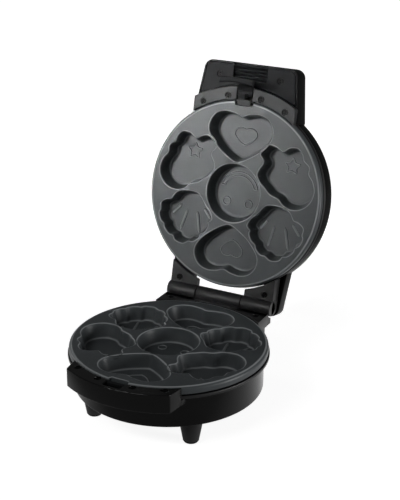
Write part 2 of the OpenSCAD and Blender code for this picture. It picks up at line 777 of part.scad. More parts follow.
// One outer knuckle with the leaf that carries it
module hinge_leaf(side) {
    pin_z = hinge_z - face_gap;
    mirror([side, 0, 0]) difference() {
        union() {
            rod_x(barrel_r, knuckle_in, knuckle_out, hinge_y, pin_z);
            translate([leaf_thick_x, 0, 0]) rotate([90, 0, 90]) linear_extrude(knuckle_out - leaf_thick_x)
                polygon([[80, 0], [hinge_y - 4, 0], [hinge_y + barrel_r - 0.1, pin_z + 0.5],
                    [hinge_y + barrel_r - 0.4, 6], [hinge_y + 6.2, 10], [hinge_y + 3, 13],
                    [hinge_y - 2, leaf_t], [80, leaf_t]]);
            translate([knuckle_in, 80, 0]) cube([leaf_thick_x - knuckle_in + 1, hinge_y - 80, leaf_edge_t]);
        }
        translate([0, 0, -1]) cylinder(r = bezel_r + 0.3, h = 2 * leaf_t, $fn = fine);
        rod_x(pin_r + hinge_fit, knuckle_in - 1, knuckle_out - 1 + eps, hinge_y, pin_z);
        translate([rear_screw_x, leaf_screw_y, 0]) screw_hole(20);
    }
}

module hinge_leaf_left() {
    color("#2b2d2f") in_lid() hinge_leaf(1);
}

module hinge_leaf_right() {
    color("#2b2d2f") in_lid() hinge_leaf(0);
}

module leaf_screws() {
    color("#a6a9ab") in_lid() for (s = [-1, 1]) translate([s * rear_screw_x, leaf_screw_y, 0])
        screw(leaf_t - 0.2);
}

module upper_studs() {
    color("#9da0a3") in_lid() for (p = stud_points)
        translate([p[0], p[1], plate_t]) cylinder(r = stud_r, h = shell_h - wall - plate_t, $fn = 32);
}

module upper_heater() {
    color("#85796b") in_lid() translate([0, 0, heater_z]) heater_ring(3.9);
}

module upper_reflector() {
    color("#b9bcbe") in_lid() reflector();
}

// A domed lens through the lid's top
module lens(x) {
    translate([x, lens_y, shell_h - wall]) {
        cylinder(r = lens_r, h = wall + 0.6, $fn = 32);
        translate([0, 0, wall + 0.6 - eps]) cylinder(r1 = lens_r, r2 = lens_r - 1, h = 0.7, $fn = 32);
    }
}

module power_lens() {
    color("#a01818") in_lid() lens(-lens_x);
}

module ready_lens() {
    color("#1c8a3a") in_lid() lens(lens_x);
}

module indicator_lamps() {
    color("#e0dccf") in_lid() for (x = [-lens_x, lens_x])
        translate([x, lens_y, lamp_z]) cylinder(r = 2.2, h = shell_h - wall - lamp_z, $fn = 32);
}

// ---- The latch --------------------------------------------------------------

module latch_lever() {
    paddle_in = handle_r + 0.3;
    wide = 2 * latch_half;
    color("#202224") in_lid() difference() {
        union() {
            // the hub, the hook and its nose
            translate([-latch_half, latch_pin_y - 2.9, -0.5]) cube([wide, 5.8, 6.4]);
            translate([-hook_half, -110, -8.5]) cube([2 * hook_half, 3.4, 9]);
            translate([-hook_half, -107, -8.5]) cube([2 * hook_half, 2.8, 2.4]);
            // the arm over the base's handle, the tab down its front and the bar at the tab's end
            translate([-latch_half, -paddle_in - 5.7, -1.2]) cube([wide, 12, 2.7]);
            translate([-latch_half, -paddle_in - 5.7, -26]) cube([wide, 2.7, 26]);
            arc_block(paddle_in + 9.2, paddle_in + 3, -27, -22, clip_half);
        }
        rod_x(latch_pin_d / 2 + latch_fit, -20, 20, latch_pin_y, latch_pin_z);
    }
}

module latch_pin() {
    color("#b4b7ba") in_lid() rod_x(latch_pin_d / 2, -15, 15, latch_pin_y, latch_pin_z);
}

// A bent leaf between the strip's bridge and the latch's hub
module latch_spring() {
    y = bridge_y;
    color("#9a9da0") in_lid() translate([-5, 0, 0]) rotate([90, 0, 90]) linear_extrude(10)
        polygon([[y, 1.8], [y - 0.7, 1.8], [y - 4, 5.2], [y - 3.7, 5.6], [y - 0.4, 2.5], [y - 0.4, 6.5],
            [y, 6.5]]);
}

base_drum();
base_cover();
cover_screws();
base_bezel();
base_handle();
base_handle_screws();
latch_keeper();
hinge_bracket();
bracket_screws();
hinge_pin();
lower_plate();
lower_studs();
lower_heater();
lower_reflector();
thermostat();
thermal_fuse();
terminal_block();
cord_gland();
front_feet();
rear_feet();
foot_pads();
foot_screws();
lid_shell();
lid_bezel();
lid_strip();
strip_screws();
grip_cover();
grip_screws();
hinge_leaf_left();
hinge_leaf_right();
leaf_screws();
upper_plate();
upper_studs();
upper_heater();
upper_reflector();
power_lens();
ready_lens();
indicator_lamps();
latch_lever();
latch_pin();
latch_spring();
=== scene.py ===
import json
from math import cos, pi, radians, sin

import bmesh
import bpy
import numpy as np
from mathutils import Matrix, Vector
from mathutils.geometry import delaunay_2d_cdt


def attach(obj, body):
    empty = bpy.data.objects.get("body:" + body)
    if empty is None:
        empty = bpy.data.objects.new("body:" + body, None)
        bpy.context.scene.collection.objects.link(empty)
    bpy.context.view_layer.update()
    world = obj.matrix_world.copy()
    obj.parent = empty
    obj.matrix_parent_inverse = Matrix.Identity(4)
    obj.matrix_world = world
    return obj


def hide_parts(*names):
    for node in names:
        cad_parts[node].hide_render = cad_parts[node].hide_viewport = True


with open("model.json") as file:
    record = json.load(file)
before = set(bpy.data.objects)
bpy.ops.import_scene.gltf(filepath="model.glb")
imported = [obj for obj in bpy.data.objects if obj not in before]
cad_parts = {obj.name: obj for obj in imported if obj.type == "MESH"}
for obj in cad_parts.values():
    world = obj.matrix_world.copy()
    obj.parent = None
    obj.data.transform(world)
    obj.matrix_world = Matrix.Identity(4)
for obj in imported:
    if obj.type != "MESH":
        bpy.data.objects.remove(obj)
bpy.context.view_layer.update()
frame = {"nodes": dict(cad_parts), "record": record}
nodes = frame["nodes"]
print("frame loaded:", len(nodes), "nodes")

# Lengths below are in millimetres. x and y are measured from the middle of the plates and w is the
# distance behind a plate's face: down in the base, and into the cover in the lid while it is shut.
maker = {"faceHeight": 74.0, "hingeY": 116.4, "hingeZ": 2.5, "faceGap": 1.5}
lidJoint = [j for j in frame["record"]["behaviour"]["joints"] if j["name"] == "lid_hinge"][0]
maker["openAngle"] = radians(lidJoint["range_deg"][1])
maker["middleY"] = maker["hingeY"] - lidJoint["pos_m"][1] * 1000


def inBase(p):
    # (x, y, w) with the base's face up: y moves to the row's middle and z is the face less w
    p = np.asarray(p, float)
    return np.stack([p[..., 0], p[..., 1] - maker["middleY"], maker["faceHeight"] - p[..., 2]], -1) / 1000


def inLid(p):
    # (x, y, w) with the lid shut, then turned open about the hinge line by the open angle
    p = np.asarray(p, float)
    a = maker["openAngle"]
    dy = p[..., 1] - maker["hingeY"]
    dz = p[..., 2] + maker["faceGap"] - maker["hingeZ"]
    y = maker["hingeY"] - maker["middleY"] + dy * cos(a) + dz * sin(a)
    z = maker["faceHeight"] + maker["hingeZ"] - dy * sin(a) + dz * cos(a)
    return np.stack([p[..., 0], y, z], -1) / 1000


# ---- materials ----

def linear(hexColour):
    # an sRGB hex as linear light: c / 12.92 when dark, else ((c + 0.055) / 1.055) to the power 2.4
    c = np.array([int(hexColour[i:i + 2], 16) for i in (1, 3, 5)]) / 255
    c = np.where(c <= 0.04045, c / 12.92, ((c + 0.055) / 1.055) ** 2.4)
    return (*c, 1.0)


def addNode(tree, kind, values=None, links=None, **settings):
    # one node with its settings, its sockets' values, and its links given as socket: output
    node = tree.nodes.new(kind)
    for key, value in settings.items():
        setattr(node, key, value)
    for key, value in (values or {}).items():
        node.inputs[key].default_value = value
    for key, output in (links or {}).items():
        tree.links.new(output, node.inputs[key])
    return node


# the painted highlight's strength at depths in mm behind the face: the lip, the wall, the foot and the floor
paintedHighlightSteps = [(0.0, 0.0), (0.08, 0.6), (0.4, 0.5), (0.8, 0.0), (14.2, 0.0), (15.0, 0.3), (15.6, 0.3),
             (15.95, 0.0)]
# the depth in mm that the line's ramp spans, the noises' detail, the colour ramp's two ends, and the
# height in metres of the grain's relief
skin = {"paintedHighlightSpan": 20, "driftDetail": 3.0, "fineDetail": 2.0, "darkAt": 0.45, "lightAt": 1.0,
        "toothHeight": 0.0001}


def moulded(name, dark, light, rough, grain, bump, spread=0.06, metallic=0.0, cloud=40.0, specular=0.5,
            edge=None):
    # a finish of two near colours that drift in clouds over the piece, with a fine grain; grain and
    # cloud are sizes in mm, and the roughness drifts by the spread either way
    mat = bpy.data.materials.new(name)
    mat.use_nodes = True
    tree = mat.node_tree
    shader = tree.nodes["Principled BSDF"]
    shader.inputs["Metallic"].default_value = metallic
    shader.inputs["Specular IOR Level"].default_value = specular
    where = addNode(tree, "ShaderNodeTexCoord").outputs["Object"]
    drift = addNode(tree, "ShaderNodeTexNoise", {"Scale": 1000 / cloud, "Detail": skin["driftDetail"]},
                    {"Vector": where})
    fine = addNode(tree, "ShaderNodeTexNoise", {"Scale": 1000 / grain, "Detail": skin["fineDetail"]},
                   {"Vector": where})
    both = addNode(tree, "ShaderNodeMath", None,
                   {0: drift.outputs[0], 1: fine.outputs[0], 2: drift.outputs[0]}, operation="MULTIPLY_ADD")
    ramp = addNode(tree, "ShaderNodeValToRGB", None, {"Fac": both.outputs[0]})
    ramp.color_ramp.elements[0].position = skin["darkAt"]
    ramp.color_ramp.elements[1].position = skin["lightAt"]
    ramp.color_ramp.elements[0].color = linear(dark)
    ramp.color_ramp.elements[1].color = linear(light)
    colour = ramp.outputs[0]
    if edge:
        # along a lip or a foot, the depth behind the face gives a painted highlight: a paler line in place of the
        # light caught by the rounded lip and foot
        depth = addNode(tree, "ShaderNodeAttribute", attribute_name="depth").outputs["Fac"]
        along = addNode(tree, "ShaderNodeMath", {1: 1 / skin["paintedHighlightSpan"]}, {0: depth}, operation="MULTIPLY")
        line = addNode(tree, "ShaderNodeValToRGB", None, {"Fac": along.outputs[0]})
        steps = line.color_ramp.elements
        for at, value in paintedHighlightSteps:
            step = steps.new(at / skin["paintedHighlightSpan"])
            step.color = (value, value, value, 1)
        steps.remove(steps[0])
        steps.remove(steps[-1])
        colour = addNode(tree, "ShaderNodeMix", {7: linear(edge)}, {0: line.outputs[0], 6: colour},
                         data_type="RGBA").outputs[2]
    tree.links.new(colour, shader.inputs["Base Color"])
    worn = addNode(tree, "ShaderNodeMapRange", {"To Min": rough - spread, "To Max": rough + spread},
                   {"Value": drift.outputs[0]})
    tree.links.new(worn.outputs[0], shader.inputs["Roughness"])
    relief = addNode(tree, "ShaderNodeBump", {"Strength": bump, "Distance": skin["toothHeight"]},
                     {"Height": fine.outputs[0]})
    tree.links.new(relief.outputs[0], shader.inputs["Normal"])
    return mat


finishes = {
    # black phenolic moulded in a fine spark-eroded tool: soft broad highlights, faint grain
    "satinPhenolic": moulded("satinPhenolic", "#1a1a1a", "#262627", 0.45, 0.9, 0.3, specular=0.45),
    # the same black, polished: a tight reflection of the room with a slight orange peel
    "polishedPhenolic": moulded("polishedPhenolic", "#040404", "#080808", 0.22, 4.0, 0.06, 0.03, specular=0.35),
    # the lid's black from a duller tool: a dim wide sheen
    "dullPhenolic": moulded("dullPhenolic", "#050505", "#0a0a0a", 0.4, 2.0, 0.1, specular=0.12),
    # sprayed PTFE on cast aluminium: charcoal, a little silky, with a fine sprayed tooth, and a painted highlight
    # along the lips and feet of the wells
    "sprayedNonStick": moulded("sprayedNonStick", "#3f4345", "#4b4f51", 0.42, 0.7, 0.35, 0.05, cloud=60.0,
                               specular=0.33, edge="#b4b8ba"),
    # dark grey moulding, lighter than the casing and almost without shine
    "greyPhenolic": moulded("greyPhenolic", "#17181a", "#202122", 0.46, 1.1, 0.25, specular=0.07),
    # a paler grey with a faint sheen, so that the strip stands out from the grip
    "paleGreyPhenolic": moulded("paleGreyPhenolic", "#2c2d2e", "#363839", 0.42, 1.1, 0.25, specular=0.18),
    # blackened zinc on pressed screw heads: dull near-black, mottled in small spots
    "blackenedZinc": moulded("blackenedZinc", "#09090a", "#151515", 0.36, 1.5, 0.15, cloud=3.0, specular=0.05),
    # oil-blacked spring steel: near black with a soft sheen
    "blackedSteel": moulded("blackedSteel", "#1b1c1d", "#2a2b2c", 0.35, 0.8, 0.1, metallic=0.7, cloud=8.0),
    # drawn steel rod: pale metal, slightly streaked
    "drawnSteel": moulded("drawnSteel", "#9a9c9e", "#b4b6b8", 0.28, 0.8, 0.1, metallic=1.0, cloud=8.0),
    # rolled aluminium sheet behind the elements: pale, faintly clouded
    "rolledAluminium": moulded("rolledAluminium", "#a9abad", "#c2c4c6", 0.35, 0.9, 0.1, metallic=1.0, cloud=12.0),
    # steel sheath that has been red hot: brownish, dull
    "heatTintedSheath": moulded("heatTintedSheath", "#5a4c3e", "#77695a", 0.5, 1.0, 0.2, metallic=0.9, cloud=9.0),
    # soft black rubber: almost no highlight, fine tooth
    "mattRubber": moulded("mattRubber", "#0d0d0d", "#151515", 0.75, 0.8, 0.4),
    # fired steatite: chalky cream
    "firedSteatite": moulded("firedSteatite", "#cfc8b8", "#ded8ca", 0.6, 0.9, 0.3, cloud=6.0),
    # turned brass: warm metal
    "turnedBrass": moulded("turnedBrass", "#b39a52", "#c9b06a", 0.3, 0.8, 0.1, metallic=1.0, cloud=6.0),
    # clear dyed acrylic lenses
    "redAcrylic": moulded("redAcrylic", "#8c1216", "#a3181c", 0.12, 3.0, 0.03, 0.02, cloud=5.0),
    "greenAcrylic": moulded("greenAcrylic", "#14702e", "#1b8338", 0.12, 3.0, 0.03, 0.02, cloud=5.0),
}
print("materials made:", len(finishes))

cadFinish = {
    "polishedPhenolic": ["base_drum", "base_handle"],
    "dullPhenolic": ["lid_shell"],
    "satinPhenolic": ["base_cover", "front_feet", "rear_feet", "hinge_bracket", "base_bezel", "lid_bezel",
                      "hinge_leaf_left", "hinge_leaf_right"],
    "greyPhenolic": ["grip_cover", "latch_lever", "latch_keeper"],
    "paleGreyPhenolic": ["lid_strip"],
    "sprayedNonStick": ["lower_plate", "upper_plate"],
    "blackenedZinc": ["cover_screws", "base_handle_screws", "bracket_screws", "foot_screws", "strip_screws",
                      "grip_screws", "leaf_screws", "lower_studs", "upper_studs"],
    "drawnSteel": ["hinge_pin"],
    "blackedSteel": ["latch_pin", "latch_spring"],
    "rolledAluminium": ["lower_reflector", "upper_reflector"],
    "heatTintedSheath": ["lower_heater", "upper_heater"],
    "mattRubber": ["cord_gland", "foot_pads"],
    "firedSteatite": ["thermostat", "terminal_block", "indicator_lamps"],
    "turnedBrass": ["thermal_fuse"],
    "redAcrylic": ["power_lens"],
    "greenAcrylic": ["ready_lens"],
}
for finish, names in cadFinish.items():
    for name in names:
        nodes[name].data.materials.clear()
        nodes[name].data.materials.append(finishes[finish])
print("CAD nodes finished")


# ---- outlines and surfaces ----

def closedCurve(points, count):
    # Catmull-Rom through the points, closed, then walked in equal steps of length
    p = np.asarray(points, float)
    t = np.linspace(0, 1, 24, endpoint=False)[None, :, None]
    a, b, c, d = [np.roll(p, k, 0)[:, None, :] for k in (1, 0, -1, -2)]
    q = 0.5 * (2 * b + (c - a) * t + (2 * a - 5 * b + 4 * c - d) * t ** 2 + (3 * b - a - 3 * c + d) * t ** 3)
    q = q.reshape(-1, 2)
    return evenSteps(q, count)


def evenSteps(loop, count):
    # a closed polyline resampled at equal distances along it
    q = np.vstack([loop, loop[:1]])
    s = np.concatenate([[0], np.cumsum(np.linalg.norm(np.diff(q, axis=0), axis=1))])
    at = np.linspace(0, s[-1], count, endpoint=False)
    return np.stack([np.interp(at, s, q[:, k]) for k in (0, 1)], -1)


def anticlockwise(loop):
    # a loop whose signed area, half the sum of x times next y less y times next x, is negative is reversed
    x, y = loop[:, 0], loop[:, 1]
    area = np.sum(x * np.roll(y, -1) - y * np.roll(x, -1))
    return loop if area > 0 else loop[::-1]


def outward(loop):
    # unit normals of an anticlockwise loop, from the chord between each point's neighbours
    t = np.roll(loop, -1, 0) - np.roll(loop, 1, 0)
    n = np.stack([t[:, 1], -t[:, 0]], -1)
    return n / np.maximum(np.linalg.norm(n, axis=1, keepdims=True), 1e-9)


def roundedLoop(loop, r, turn=25.0):
    # each corner that turns by more than the given degrees becomes a short parabola, from r before it to
    # r after it, or from just short of the middle of a side that is shorter than that
    p = np.asarray(loop, float)
    back, ahead = np.roll(p, 1, 0) - p, np.roll(p, -1, 0) - p
    lb, la = np.linalg.norm(back, axis=1), np.linalg.norm(ahead, axis=1)
    cosine = -(back * ahead).sum(1) / np.maximum(lb * la, 1e-9)
    out = []
    t = np.linspace(0, 1, 6)[:, None]
    most = 0.48
    for i in range(len(p)):
        if cosine[i] > cos(radians(turn)):
            out.append(p[i:i + 1])
        else:
            a = p[i] + back[i] / lb[i] * min(r, lb[i] * most)
            b = p[i] + ahead[i] / la[i] * min(r, la[i] * most)
            out.append((1 - t) ** 2 * a + 2 * t * (1 - t) * p[i] + t ** 2 * b)
    return np.vstack(out)


def arc(cx, cy, r, a0, a1, count):
    # points at equal angles, in degrees, on a circle: the centre plus r times (cos, sin)
    a = np.radians(np.linspace(a0, a1, count))
    return np.stack([cx + r * np.cos(a), cy + r * np.sin(a)], -1)


def circle(cx, cy, r, count):
    # a whole turn as a closed loop
    return arc(cx, cy, r, 0, 360, count + 1)[:-1]


def sweptRings(loop, profile):
    # a loop carried through (offset, w) pairs, where an offset moves each point along its normal
    n = outward(loop)
    rings = np.stack([np.column_stack([loop + n * offset, np.broadcast_to(w, len(loop))])
                      for offset, w in profile])
    return gridPart(rings)


def gridPart(rings, wrapU=True, wrapV=False):
    # points on a (v, u) grid and the quads between them
    nv, nu = rings.shape[:2]
    u, v = np.arange(nu if wrapU else nu - 1), np.arange(nv if wrapV else nv - 1)
    uu, vv = np.meshgrid(u, v)
    a = vv * nu + uu
    b = vv * nu + (uu + 1) % nu
    c = (vv + 1) % nv * nu + (uu + 1) % nu
    d = (vv + 1) % nv * nu + uu
    return rings.reshape(-1, 3), np.stack([a, b, c, d], -1).reshape(-1, 4).tolist()


def inside(points, loop):
    # crossing count of a ray to +x from every point at once
    x, y = points[:, :1], points[:, 1:]
    x0, y0 = loop[:, 0][None], loop[:, 1][None]
    x1, y1 = np.roll(loop[:, 0], -1)[None], np.roll(loop[:, 1], -1)[None]
    crosses = (y0 > y) != (y1 > y)
    at = x0 + (y - y0) * (x1 - x0) / np.where(y1 == y0, 1e-12, y1 - y0)
    return (crosses & (x < at)).sum(1) % 2 == 1


def flatPart(loops, w):
    # the flat area inside the first loop and outside the others, cut into triangles
    points, edges = [], []
    for loop in loops:
        k = len(points)
        points += [Vector(p) for p in loop.tolist()]
        edges += [(k + i, k + (i + 1) % len(loop)) for i in range(len(loop))]
    found = delaunay_2d_cdt(points, edges, [], 0, 1e-7)
    p = np.array([tuple(v) for v in found[0]])
    tris = np.array(found[2])
    middle = p[tris].mean(1)
    keep = inside(middle, loops[0])
    for loop in loops[1:]:
        keep &= ~inside(middle, loop)
    return np.column_stack([p, np.full(len(p), float(w))]), tris[keep].tolist()


def turned(r0, w0, r1, w1, count=6, bulge="out"):
    # a quarter ellipse of (offset, w) pairs from the first pair to the second
    t = np.linspace(0, pi / 2, count)
    if bulge == "out":
        return [(r0 + (r1 - r0) * sin(a), w0 + (w1 - w0) * (1 - cos(a))) for a in t]
    return [(r0 + (r1 - r0) * (1 - cos(a)), w0 + (w1 - w0) * sin(a)) for a in t]


def revolved(profile, cx=0.0, cy=0.0, count=192, closed=True):
    # (r, w) pairs turned once about the axis at (cx, cy)
    a = np.linspace(0, 2 * pi, count, endpoint=False)
    p = np.asarray(profile, float)
    rings = np.stack([cx + p[:, :1] * np.cos(a), cy + p[:, :1] * np.sin(a),
                      np.broadcast_to(p[:, 1:], (len(p), count))], -1)
    return gridPart(rings, True, closed)


# how far a block's flat ends reach inside its rounded edges, the mouth of a sink, and the point counts
trim = {"capIn": 0.15, "sinkFlare": 0.8, "sinkLip": 0.35, "sinkCount": 40, "edgeCount": 4, "rodCount": 64,
        "rodEdge": 0.6}


def block(loop, w0, w1, front, back, holes=()):
    # a slab with quarter-round edges, and round sinks in its front face given as (x, y, r, depth)
    t = trim
    loop = anticlockwise(np.asarray(loop, float))
    n = outward(loop)
    frontCap, backCap = -front - t["capIn"], -back - t["capIn"]
    profile = [(frontCap, w0)] + turned(-front, w0, 0, w0 + front, t["edgeCount"])
    profile += turned(0, w1 - back, -back, w1, t["edgeCount"], "in") + [(backCap, w1)]
    parts = [sweptRings(loop, profile)]
    rims = []
    for x, y, r, depth in holes:
        mouth, lip = r + t["sinkFlare"], t["sinkLip"]
        rims.append(circle(x, y, mouth, t["sinkCount"]))
        wall = [(mouth, w0), (r + lip, w0)] + turned(r + lip, w0, r, w0 + lip, 3)[1:] + [(r, w0 + depth)]
        parts.append(revolved(wall, x, y, t["sinkCount"], False))
        parts.append(flatPart([circle(x, y, r, t["sinkCount"])], w0 + depth))
    parts.append(flatPart([loop + n * frontCap] + rims, w0))
    parts.append(flatPart([loop + n * backCap], w1))
    return parts


def acrossX(loop, x0, x1, edge=0.5):
    # a (y, w) outline carried along x, with rounded edges at both ends
    return [(p[:, [2, 0, 1]], f) for p, f in block(loop, x0, x1, edge, edge)]


def rodX(r, x0, x1, y, w):
    # a round bar along x
    return acrossX(circle(y, w, r, trim["rodCount"]), x0, x1, trim["rodEdge"])


# distances in metres at which points merge and an edge counts as having no length
weld = {"merge": 4e-6, "sliver": 1e-7}


def makePiece(name, parts, finish, body, replaced=(), place=inBase, sharp=30.0):
    # joins the parts, merges their shared edges, and turns every face outwards; the depth attribute keeps
    # each point's w for the finishes
    verts, faces, k = [], [], 0
    for p, f in parts:
        verts.append(place(p))
        faces += [[i + k for i in face] for face in f]
        k += len(p)
    mesh = bpy.data.meshes.new(name)
    mesh.from_pydata(np.vstack(verts).tolist(), [], faces)
    depth = mesh.attributes.new("depth", "FLOAT", "POINT")
    depth.data.foreach_set("value", np.concatenate([p[:, 2] for p, f in parts]))
    bm = bmesh.new()
    bm.from_mesh(mesh)
    bmesh.ops.remove_doubles(bm, verts=bm.verts, dist=weld["merge"])
    bmesh.ops.dissolve_degenerate(bm, edges=bm.edges, dist=weld["sliver"])
    bmesh.ops.recalc_face_normals(bm, faces=bm.faces)
    bm.to_mesh(mesh)
    bm.free()
    mesh.shade_smooth()
    mesh.set_sharp_from_angle(angle=radians(sharp))
    mesh.materials.append(finishes[finish])
    piece = bpy.data.objects.new(name, mesh)
    bpy.context.collection.objects.link(piece)
    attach(piece, body)
    if replaced:
        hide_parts(*replaced)
    print("made", name, len(mesh.polygons), "faces")
    return piece


# ---- the two plates ----

plate = {"faceR": 99.3, "rimR": 103.0, "rimDrop": 3.8, "skirt": 8.0, "thick": 3.0, "depth": 16.0, "cup": 2.2,
         "draft": 0.12, "lip": 1.4, "floorR": 2.2, "notchHalf": 10.5, "notchY": 97.0, "steps": 150,
         "flatIn": 0.6, "wallSteps": (4.5, 8.0, 11.0), "ease": 1.6, "skirtIn": 97.0, "notchTurn": 9.0,
         "beyond": 200.0}
heartHalf = [[0, 19], [9, 21.8], [20, 23], [30.5, 19.5], [37, 11], [37.8, 1], [32.5, -8], [23.5, -17.2],
             [12, -25], [4, -29]]
figurePoints = [[52.4, -54], [60.5, -59.2], [69, -59.8], [74.8, -54.8], [77.3, -48], [84, -42.5], [84.6, -34.5],
                [90, -27.5], [93.2, -18], [91.6, -8.5], [86, -0.5], [77.5, 4.2], [68, 4.6], [60.5, 1.8], [54, -4],
                [44, -7.4], [37.8, -12.5], [30.9, -18], [26.6, -25], [28, -31.5], [31.8, -38], [31.5, -43],
                [27.5, -48.5], [30.2, -55.5], [37, -59.3], [44.5, -58]]
scallopPoints = [[38, 9.5], [43, 5.6], [53.5, 4.6], [64.5, 6.4], [70.2, 10.6], [74.6, 17], [80.6, 18.6],
                 [86.6, 23.4], [86.2, 30.6], [87.6, 35], [84.6, 42.2], [80, 45.6], [78.4, 50.6], [72.6, 55.8],
                 [67.2, 57.2], [63.6, 61.8], [54.5, 63.6], [47.4, 60], [41.8, 59.4], [36.2, 54.8], [34.2, 50],
                 [28.6, 45.8], [25.6, 39.4], [26.2, 35.4], [22.2, 31], [25.4, 23.6], [30.6, 18.6], [34.4, 14]]
heart = np.array(heartHalf + [[0, -30]] + [[-x, y] for x, y in heartHalf[:0:-1]], float)
figure, scallop = np.array(figurePoints), np.array(scallopPoints)
# each well's outline and the centre that its walls draw in to
wells = [(circle(0, -1.5, 32, 32), (0, -1.5)),
         (heart + [0, 64.2], (0, 64.2)),
         (heart * [1, -1] - [0, 66], (0, -66))]
for side in (1, -1):
    wells.append((figure * [side, 1], (60 * side, -28)))
    wells.append((scallop * [side, 1], (54 * side, 34)))


def wellParts(points, centre):
    # a lofted well: rounded lip, walls drawing in with depth about the centre, rounded foot, flat floor
    s = plate
    loop = anticlockwise(closedCurve(points, s["steps"]))
    n, c = outward(loop), np.array(centre)

    def ring(offset, w):
        drawnIn = c + (loop - c) * (1 - s["draft"] * w / s["depth"])
        return np.column_stack([drawnIn + n * offset, np.full(len(loop), w)])
    top = [(s["lip"] + s["flatIn"], 0.0)]
    top += [(s["lip"] * (1 - sin(a)), s["lip"] * (1 - cos(a))) for a in np.linspace(0, pi / 2, 6)]
    foot = turned(0, s["depth"] - s["floorR"], -s["floorR"], s["depth"], 6, "in")
    wall = [(0, w) for w in s["wallSteps"]]
    floor = [(-s["floorR"] - s["flatIn"], s["depth"])]
    rings = np.stack([ring(offset, w) for offset, w in top + wall + foot + floor])
    under = s["depth"] + s["cup"]
    back = np.stack([ring(s["cup"], s["thick"]), ring(s["cup"], under - 1), ring(s["cup"] - 1, under)])
    parts = [gridPart(rings), flatPart([rings[-1][:, :2]], s["depth"]), gridPart(back),
             flatPart([back[-1][:, :2]], under)]
    return parts, rings[0][:, :2], back[0][:, :2]


def plateParts():
    # the edge as rings of points at angles a, finer beside the front notch: a ring's radius is its own, or
    # less inside the notch, where it is notchY over the sine so that the notch's back is straight. The
    # change between the two is eased by t * t * (3 - 2 * t). The face and the back join edge and wells
    s = plate
    fine = np.degrees(np.arctan(np.linspace(s["notchHalf"] - 2, s["notchHalf"] + 4, 14) / s["notchY"]))
    turn = s["notchTurn"]
    a = np.concatenate([np.linspace(0, 270 - turn, 250), 270 - fine[::-1],
                        np.linspace(270 - turn / 2, 270 + turn / 2, 9), 270 + fine,
                        np.linspace(270 + turn, 360, 90)[:-1]])
    a = np.radians(np.unique(np.round(a, 4)))
    x = np.abs(s["rimR"] * np.cos(a))
    front = np.sin(a) < 0
    past = np.clip((x - s["notchHalf"]) / s["ease"], 0, 1)
    past = past * past * (3 - 2 * past)
    cap = np.where(front, s["notchY"] / np.maximum(-np.sin(a), 0.2), s["beyond"])
    cap = np.where(front & (past < 1), cap * (1 - past) + s["rimR"] * past, s["beyond"])

    def ring(r, w, inset):
        r = np.minimum(r, cap - inset)
        return np.stack([r * np.cos(a), r * np.sin(a), np.full(len(a), w)], -1)
    rows = [ring(s["faceR"] - 1.5, 0, 2.2), ring(s["faceR"], 0, 1.0)]
    for t in np.linspace(0, pi / 2, 9)[1:]:
        r = s["faceR"] + (s["rimR"] - s["faceR"]) * sin(t)
        rows.append(ring(r, s["rimDrop"] * (1 - cos(t)), 1 - sin(t)))
    rows += [ring(s["rimR"], s["skirt"] - 0.5, 0), ring(s["rimR"] - 0.4, s["skirt"], 0.4),
             ring(s["skirtIn"] + 0.4, s["skirt"], 2.0), ring(s["skirtIn"], s["skirt"] - 0.4, 2.4),
             ring(s["skirtIn"], s["thick"], 2.4)]
    parts, tops, backs = [gridPart(np.stack(rows))], [], []
    for points, centre in wells:
        made, top, back = wellParts(points, centre)
        parts += made
        tops.append(top)
        backs.append(back)
    parts.append(flatPart([rows[0][:, :2]] + tops, 0.0))
    parts.append(flatPart([rows[-1][:, :2]] + backs, s["thick"]))
    return parts


def ridge(path, closed, width, height, floor):
    # a half-round bead along a path on a well's floor; an open one narrows to points at its ends
    p = np.asarray(path, float)
    t = np.roll(p, -1, 0) - np.roll(p, 1, 0) if closed else np.gradient(p, axis=0)
    n = np.stack([t[:, 1], -t[:, 0]], -1) / np.maximum(np.linalg.norm(t, axis=1, keepdims=True), 1e-9)
    taper, point, sunk = 2.5, 0.02, 0.3
    size = np.ones(len(p)) if closed else np.clip(np.sin(np.linspace(0, pi, len(p))) * taper, point, 1)
    b = np.linspace(0, pi, 7)
    across = np.concatenate([np.cos(b) * width / 2, [-width / 2, width / 2]])
    up = np.concatenate([np.sin(b) * height, [-sunk, -sunk]])
    rings = np.stack([np.column_stack([p + n * (size * k)[:, None], floor - h * np.where(h > 0, size, 1)])
                      for k, h in zip(across, up)])
    verts, faces = gridPart(rings, closed, True)
    if not closed:
        m = len(p)
        faces.append([i * m for i in range(len(across))])
        faces.append([i * m + m - 1 for i in range(len(across))][::-1])
    return verts, faces


lines = {"width": 1.5, "height": 0.9, "eyeX": 13.3, "eyeY": 10.0, "eyeR": 4.4, "mouthR": 22.8, "mouthInR": 18.8,
         "mouthY": -1, "starX": 59.5, "starY": -39.5, "starR": 9.4, "starInR": 4.9, "heartSize": 0.345,
         "backHeartY": 62.5, "frontHeartY": 64.5, "rayWidth": 3.4, "rayHeight": 1.2}
rays = [[(39.8, 23), (30.5, 34)], [(47.8, 27.3), (42.5, 52.5)], [(60.2, 27.3), (67, 52.5)],
        [(68, 22.5), (78.5, 35)]]


